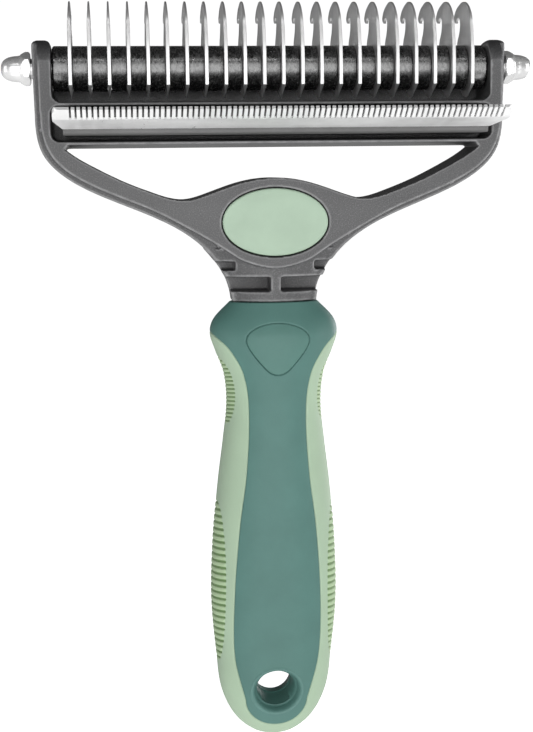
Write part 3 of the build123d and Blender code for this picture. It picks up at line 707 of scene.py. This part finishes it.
def mix(nodes, links, share, first, second):
    """Colour mix; first and second are colours or sockets."""
    node = nodes.new("ShaderNodeMix")
    node.data_type = "RGBA"
    links.new(share, node.inputs["Factor"])
    for value, socket in ((first, node.inputs["A"]), (second, node.inputs["B"])):
        if isinstance(value, tuple):
            socket.default_value = value
        else:
            links.new(value, socket)
    return node.outputs["Result"]


def multiply(nodes, links, first, second):
    """Product of two numbers."""
    node = nodes.new("ShaderNodeMath")
    node.operation = "MULTIPLY"
    links.new(first, node.inputs[0])
    links.new(second, node.inputs[1])
    return node.outputs["Value"]


def bump(nodes, links, shader, source, distance):
    """Fine relief on the shader's normal."""
    node = nodes.new("ShaderNodeBump")
    node.inputs["Distance"].default_value = distance
    node.inputs["Strength"].default_value = 1.0
    links.new(source, node.inputs["Height"])
    links.new(node.outputs["Normal"], shader.inputs["Normal"])


def shifted(tone, factor):
    """A colour, lighter or darker."""
    return (tone[0] * factor, tone[1] * factor, tone[2] * factor, 1.0)


def moulded(name, tone, roughness, grain, relief, speck_wear_and_painted_light=None, specular=0.5, speckle=0.0):
    """Moulded plastic: spark-eroded grain and mottling; with a speckle, painted shade on upward-facing
    tops and edge wear that is partly painted light from below.
    """
    material, nodes, links, shader, place = new_material(name, 0.0, roughness, specular)
    mottle = noise(nodes, links, place, 90, 4.0)
    base = ramp(nodes, links, mottle, ((0.3, shifted(tone, 0.93)), (0.7, shifted(tone, 1.07))))
    if speckle:
        dots = noise(nodes, links, place, grain, 2.0, 0.8)
        base = mix(nodes, links, spread(nodes, links, dots, 0.0, speckle, 0.5, 0.68), base, speck_wear_and_painted_light)
        geometry = nodes.new("ShaderNodeNewGeometry")
        split = nodes.new("ShaderNodeSeparateXYZ")
        links.new(geometry.outputs["Normal"], split.inputs["Vector"])
        upward = split.outputs["Z"]
        # painted shade: faces that turn upwards are darkened towards a near-black copy of the tone, as if
        # in shadow under a dark top
        top = spread(nodes, links, upward, 0.0, 0.6, 0.15, 0.9)
        base = mix(nodes, links, top, base, shifted(tone, 0.15))
        # edge wear, partly real wear and partly painted light: it is kept off upward-facing faces, so
        # only edges that face down or sideways are lightened, as if lit from below
        edges = spread(nodes, links, geometry.outputs["Pointiness"], 0.0, 0.7, 0.503, 0.526)
        level = spread(nodes, links, upward, 1.0, 0.0, 0.0, 0.5)
        patchy = spread(nodes, links, noise(nodes, links, place, 600, 3.0), 0.45, 1.0)
        edge_wear_and_painted_light = multiply(nodes, links, multiply(nodes, links, edges, level), patchy)
        base = mix(nodes, links, edge_wear_and_painted_light, base, speck_wear_and_painted_light)
    links.new(base, shader.inputs["Base Color"])
    fine = noise(nodes, links, place, grain, 2.0)
    links.new(spread(nodes, links, fine, roughness - 0.05, roughness + 0.07), shader.inputs["Roughness"])
    bump(nodes, links, shader, fine, relief)
    return material


def rubber(name, tone, groove_colour_and_shade, ridge_tone, grain):
    """Soft overmould: matt, with grooves between its ribs painted darker and greener, partly the rubber's
    own colour and partly painted shade.
    """
    material, nodes, links, shader, place = new_material(name, 0.0, 0.62, 0.35)
    mottle = noise(nodes, links, place, 70, 4.0)
    base = ramp(nodes, links, mottle, ((0.3, shifted(tone, 0.965)), (0.7, shifted(tone, 1.03))))
    # the grooves' darker, greener colour is partly the rubber's own colour and partly painted shade in
    # the recesses
    for attribute, shade, low, high in (("ribbed", ridge_tone, 0.0, 1.0),
                                        ("groove", groove_colour_and_shade, 0.25, 0.85)):
        mark = nodes.new("ShaderNodeAttribute")
        mark.attribute_name = attribute
        share = spread(nodes, links, mark.outputs["Fac"], 0.0, 0.95, low, high)
        base = mix(nodes, links, share, base, shade)
    links.new(base, shader.inputs["Base Color"])
    shader.inputs["Sheen Weight"].default_value = 0.08
    shader.inputs["Sheen Roughness"].default_value = 0.6
    fine = noise(nodes, links, place, grain, 3.0)
    links.new(spread(nodes, links, fine, 0.56, 0.7), shader.inputs["Roughness"])
    bump(nodes, links, shader, fine, 0.00003)
    return material


def steel(name, tone, roughness, stretch, relief, spots=0.0, metallic=1.0):
    """Ground steel: a brushed grain along one direction, with faint stains."""
    material, nodes, links, shader, place = new_material(name, metallic, roughness)
    grain = noise(nodes, links, place, 500, 4.0, 0.6, stretch)
    stain = noise(nodes, links, place, 160, 5.0)
    base = ramp(nodes, links, stain, ((0.25, shifted(tone, 0.86 - spots)), (0.6, tone)))
    links.new(base, shader.inputs["Base Color"])
    links.new(spread(nodes, links, grain, roughness - 0.08, roughness + 0.10),
              shader.inputs["Roughness"])
    bump(nodes, links, shader, grain, relief)
    return material


def glossy_black(name):
    """Roller: polished black plastic, scuffed round its girth and speckled."""
    material, nodes, links, shader, place = new_material(name, 0.0, 0.28, 0.9)
    shader.inputs["IOR"].default_value = 1.9
    scuff = noise(nodes, links, place, 1500, 5.0, 0.7, (1.0, 0.6, 0.6))
    dots = noise(nodes, links, place, 2300, 3.0)
    base = ramp(nodes, links, dots, ((0.56, colour(9, 9, 9)), (0.68, colour(95, 95, 95))))
    links.new(base, shader.inputs["Base Color"])
    links.new(spread(nodes, links, scuff, 0.12, 0.42, 0.38, 0.62), shader.inputs["Roughness"])
    bump(nodes, links, shader, scuff, 0.00005)
    return material


# --- the scene -------------------------------------------------------------------
def make_camera():
    """Camera at the photograph's place: a little to the left, and looking slightly down."""
    turn_z = Matrix.Rotation(CAMERA_YAW, 3, "Z")
    turn_x = Matrix.Rotation(CAMERA_PITCH, 3, "X")
    turn_roll = Matrix.Rotation(CAMERA_ROLL, 3, "Z")
    axes = Matrix(((1, 0, 0), (0, 0, -1), (0, 1, 0)))
    to_camera = turn_roll @ turn_x @ axes @ turn_z
    pose = to_camera.transposed() @ Matrix(((1, 0, 0), (0, -1, 0), (0, 0, -1)))
    data = bpy.data.cameras.new("camera")
    data.sensor_width = SENSOR
    data.lens = SENSOR * FOCAL / FRAME_HEIGHT
    data.clip_start = 0.02
    camera = bpy.data.objects.new("camera", data)
    camera.matrix_world = Matrix.Translation(CAMERA_PLACE) @ pose.to_4x4()
    bpy.context.scene.collection.objects.link(camera)
    bpy.context.scene.camera = camera


def softbox(name, place, width, height, power):
    """Rectangular studio light aimed at the tool."""
    data = bpy.data.lights.new(name, "AREA")
    data.shape = "RECTANGLE"
    data.size, data.size_y = width, height
    data.energy = power
    light = bpy.data.objects.new(name, data)
    light.location = place
    aim = Vector(LIGHT_AIM) - Vector(place)
    light.rotation_mode = "QUATERNION"
    light.rotation_quaternion = aim.to_track_quat("-Z", "Y")
    bpy.context.scene.collection.objects.link(light)


def make_studio():
    """White backdrop and pale floor; the object is lit from the front and below, under a dark top."""
    scene = bpy.context.scene
    scene.view_settings.view_transform = "Standard"
    world = bpy.data.worlds.new("studio")
    world.use_nodes = True
    scene.world = world
    nodes, links = world.node_tree.nodes, world.node_tree.links
    nodes.clear()
    seen = nodes.new("ShaderNodeBackground")
    seen.inputs["Color"].default_value = (1, 1, 1, 1)
    seen.inputs["Strength"].default_value = BACKDROP
    felt = nodes.new("ShaderNodeBackground")
    felt.inputs["Strength"].default_value = 1.0
    split = nodes.new("ShaderNodeSeparateXYZ")
    links.new(nodes.new("ShaderNodeTexCoord").outputs["Generated"], split.inputs["Vector"])
    height = spread(nodes, links, split.outputs["Z"], 0.0, 1.0, -1.0, 1.0)
    glow = ramp(nodes, links, height, tuple((at, (v, v, v, 1)) for at, v in SKY))
    links.new(glow, felt.inputs["Color"])
    switch = nodes.new("ShaderNodeMixShader")
    links.new(nodes.new("ShaderNodeLightPath").outputs["Is Camera Ray"], switch.inputs["Fac"])
    links.new(felt.outputs["Background"], switch.inputs[1])
    links.new(seen.outputs["Background"], switch.inputs[2])
    links.new(switch.outputs["Shader"], nodes.new("ShaderNodeOutputWorld").inputs["Surface"])

    floor_mesh = bpy.data.meshes.new("floor")
    size = FLOOR_HALF
    level = FOOT_Z * MM - FLOOR_GAP
    floor_mesh.from_pydata([(-size, -size, level), (size, -size, level), (size, size, level),
                            (-size, size, level)], [], [(0, 1, 2, 3)])
    floor = bpy.data.objects.new("floor", floor_mesh)
    scene.collection.objects.link(floor)
    material, nodes, links, shader, place = new_material("pale_floor", 0.0, 0.6, 0.2)
    tone = ramp(nodes, links, noise(nodes, links, place, 6, 3.0),
                ((0.3, (0.90, 0.90, 0.90, 1)), (0.7, (0.93, 0.93, 0.93, 1))))
    links.new(tone, shader.inputs["Base Color"])
    shader.inputs["Emission Color"].default_value = (1, 1, 1, 1)
    shader.inputs["Emission Strength"].default_value = 1.0
    floor_mesh.materials.append(material)
    floor.visible_diffuse = False
    floor.visible_glossy = False
    floor.visible_shadow = False

    for light in LIGHTS:
        softbox(*light)


def paint_cad(node, material):
    """Give a carried-over CAD part its material."""
    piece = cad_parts[node]
    piece.data.materials.clear()
    piece.data.materials.append(material)
    return piece


def soften(piece, voxel, passes):
    """Round a CAD part's sharp edges as moulding does, with modifiers only."""
    remesh = piece.modifiers.new("even", "REMESH")
    remesh.mode = "VOXEL"
    remesh.voxel_size = voxel * MM
    remesh.use_smooth_shade = True
    smooth = piece.modifiers.new("round", "SMOOTH")
    smooth.factor = 0.5
    smooth.iterations = passes


def break_edges(piece, width):
    """Small bevels on a machined CAD part."""
    bevel = piece.modifiers.new("bevel", "BEVEL")
    bevel.width = width * MM
    bevel.segments = 2
    bevel.limit_method = "ANGLE"
    bevel.angle_limit = math.radians(40)


def build():
    """The whole scene: camera, studio, materials, new pieces and painted CAD parts."""
    make_camera()
    make_studio()
    # frame_plastic carries painted shade on upward tops, and pale edges that are partly wear and partly
    # painted light from below
    frame_plastic = moulded("frame_plastic", colour(76, 76, 77), 0.42, 3200, 0.00006,
                            speck_wear_and_painted_light=colour(160, 160, 161), speckle=0.3)
    badge_green = moulded("badge_green", colour(160, 182, 161), 0.45, 1800, 0.00001)
    teal = moulded("shell_teal", colour(79, 119, 112), 0.5, 2200, 0.000015, specular=0.4)
    pad_teal = moulded("pad_teal", colour(82, 122, 114), 0.5, 2200, 0.000015, specular=0.4)
    lining = moulded("sleeve_plastic", colour(84, 125, 118), 0.5, 2200, 0.00002)
    core = moulded("core_plastic", colour(60, 80, 74), 0.6, 1500, 0.00002)
    # the second colour is the grooves' own colour darkened with painted shade
    green = rubber("grip_green", colour(165, 188, 162), colour(106, 137, 86), colour(174, 199, 157), 1700)
    blade_steel = steel("blade_steel", (0.99, 0.99, 0.99, 1), 0.34, (1.0, 0.08, 0.08), 0.000004,
                        metallic=0.45)
    screw_steel = steel("screw_steel", (0.55, 0.55, 0.56, 1), 0.35, (1, 1, 1), 0.000006)
    axle_steel = steel("axle_steel", (0.6, 0.6, 0.6, 1), 0.3, (0.1, 1, 1), 0.000004)
    claw_steel = steel("claw_steel", (0.80, 0.80, 0.80, 1), 0.36, (1, 1, 0.12), 0.000006, metallic=0.75)
    nut_steel = steel("nut_steel", (0.92, 0.92, 0.92, 1), 0.24, (0.15, 1, 1), 0.000006, 0.05,
                      metallic=0.65)
    clamp_metal = steel("clamp_metal", (0.13, 0.13, 0.13, 1), 0.42, (0.06, 1, 1), 0.000006,
                        metallic=0.5)
    black = glossy_black("roller_black")

    seam = seam_curve()
    make_shell(-1, seam, teal)
    make_shell(1, seam, teal)
    make_thumb_pad(-1, pad_teal)
    make_thumb_pad(1, pad_teal)
    make_side_grip(seam, green)
    make_sleeve(lining)
    make_badge("front_badge", -1, badge_green)
    make_badge("rear_badge", 1, badge_green)
    for node in sorted(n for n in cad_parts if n.startswith("claw_") and n != "claw_spacers"):
        make_claw(node, claw_steel)
    make_rollers(black)
    make_nut(-1, nut_steel)
    make_nut(1, nut_steel)

    soften(paint_cad("head_frame", frame_plastic), FRAME_VOXEL, FRAME_PASSES)
    paint_cad("deshedding_blade", blade_steel)
    break_edges(paint_cad("blade_holder", clamp_metal), HOLDER_BEVEL)
    break_edges(paint_cad("blade_clamp", clamp_metal), HOLDER_BEVEL)
    paint_cad("clamp_screws", screw_steel)
    paint_cad("holder_screws", screw_steel)
    paint_cad("comb_axle", axle_steel)
    paint_cad("tang_pins", axle_steel)
    paint_cad("handle_core", core)


build()
